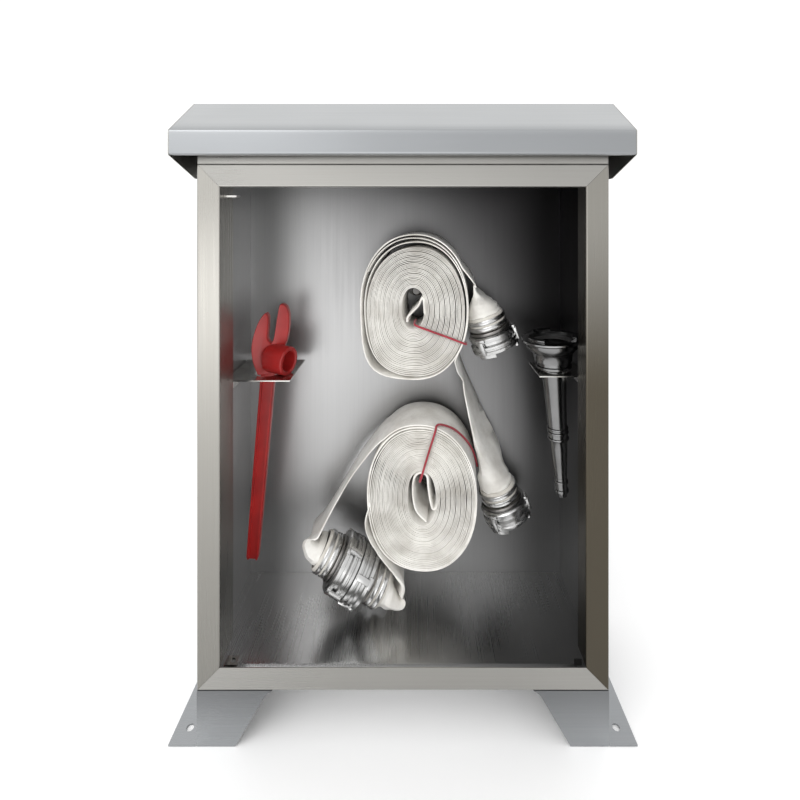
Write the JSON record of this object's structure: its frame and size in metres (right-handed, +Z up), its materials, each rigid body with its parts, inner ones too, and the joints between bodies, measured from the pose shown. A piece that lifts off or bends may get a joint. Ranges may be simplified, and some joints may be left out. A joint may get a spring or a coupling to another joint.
{
  "type": "standpipe cabinet",
  "caption": "Free-standing stainless fire hose cabinet with a rain hood and feet, open at the front, holding rolled hoses, a hydrant spanner and a branch nozzle.",
  "frame": {"origin": "on the ground, under the middle of the cabinet with its hood and feet", "axes": "+Z up, the open front faces -Y, +X to the right when looking at the front"},
  "size_m": [0.74, 0.27, 1.0259],
  "materials": {
    "stainless": "brushed",
    "dark_steel": "satin",
    "canvas": "matte",
    "aluminium": "satin",
    "rubber": "matte",
    "red_paint": "gloss",
    "red_cord": "matte"
  },
  "bodies": {
    "cabinet": {"back_panel": "stainless", "left_side_panel": "stainless", "right_side_panel": "stainless", "top_panel": "stainless", "floor_panel": "stainless", "frame_left_stile": "stainless", "frame_right_stile": "stainless", "frame_top_rail": "stainless", "frame_bottom_rail": "stainless", "threshold_strip": "stainless", "hood_roof": "stainless", "hood_left_cheek": "stainless", "hood_right_cheek": "stainless", "hood_neck": "stainless", "left_foot": "stainless", "right_foot": "stainless", "strike_tab": "stainless", "spanner_bracket": "stainless", "nozzle_bracket": "stainless", "upper_hose_peg": "stainless", "lower_hose_peg": "stainless", "hinge_plate_lower": "dark_steel", "hinge_plate_upper": "dark_steel"},
    "spanner": {"spanner": "red_paint"},
    "nozzle": {"nozzle_coupling": "aluminium", "nozzle_gasket": "rubber", "nozzle_body": "aluminium", "nozzle_tip": "aluminium"},
    "upper_hose": {"upper_hose_roll": "canvas", "upper_hose_tail_a": "canvas", "upper_hose_tail_b": "canvas", "upper_tie": "red_cord", "coupling_a_shank": "aluminium", "coupling_a_binding": "canvas", "coupling_b_shank": "aluminium", "coupling_b_binding": "canvas"},
    "coupling_a_head": {"coupling_a_ring": "aluminium", "coupling_a_gasket": "rubber"},
    "coupling_b_head": {"coupling_b_ring": "aluminium", "coupling_b_gasket": "rubber"},
    "lower_hose": {"lower_hose_roll": "canvas", "lower_hose_tail_c": "canvas", "lower_hose_tail_d": "canvas", "lower_tie": "red_cord", "coupling_c_shank": "aluminium", "coupling_c_binding": "canvas", "coupling_d_shank": "aluminium", "coupling_d_binding": "canvas"},
    "coupling_cd_head": {"coupling_c_ring": "aluminium", "coupling_c_gasket": "rubber", "coupling_d_ring": "aluminium", "coupling_d_gasket": "rubber"}
  },
  "joints": [
    {"name": "spanner_lift", "type": "slide", "parent": "cabinet", "child": "spanner", "axis": [0.084, 0, 0.9965], "range_m": [0, 0.22]},
    {"name": "nozzle_lift", "type": "slide", "parent": "cabinet", "child": "nozzle", "axis": [-0.065, 0, 0.9979], "range_m": [0, 0.26]},
    {"name": "upper_hose_pull", "type": "slide", "parent": "cabinet", "child": "upper_hose", "axis": [-0.0997, -0.9487, 0.3], "range_m": [0, 0.25]},
    {"name": "lower_hose_pull", "type": "slide", "parent": "cabinet", "child": "lower_hose", "axis": [-0.0953, -0.9071, 0.41], "range_m": [0, 0.26]},
    {"name": "coupling_a_swivel", "type": "hinge", "parent": "upper_hose", "child": "coupling_a_head", "pos_m": [0.17701, 0.064, 0.58202], "axis": [0.3419, 0, -0.9397], "continuous": true},
    {"name": "coupling_b_swivel", "type": "hinge", "parent": "upper_hose", "child": "coupling_b_head", "pos_m": [0.20281, 0.077, 0.24602], "axis": [0.3419, 0, -0.9397], "continuous": true},
    {"name": "coupling_cd_swivel", "type": "hinge", "parent": "lower_hose", "child": "coupling_cd_head", "pos_m": [-0.0989, 0.037, 0.1725], "axis": [0.848, 0, -0.53], "continuous": true}
  ]
}
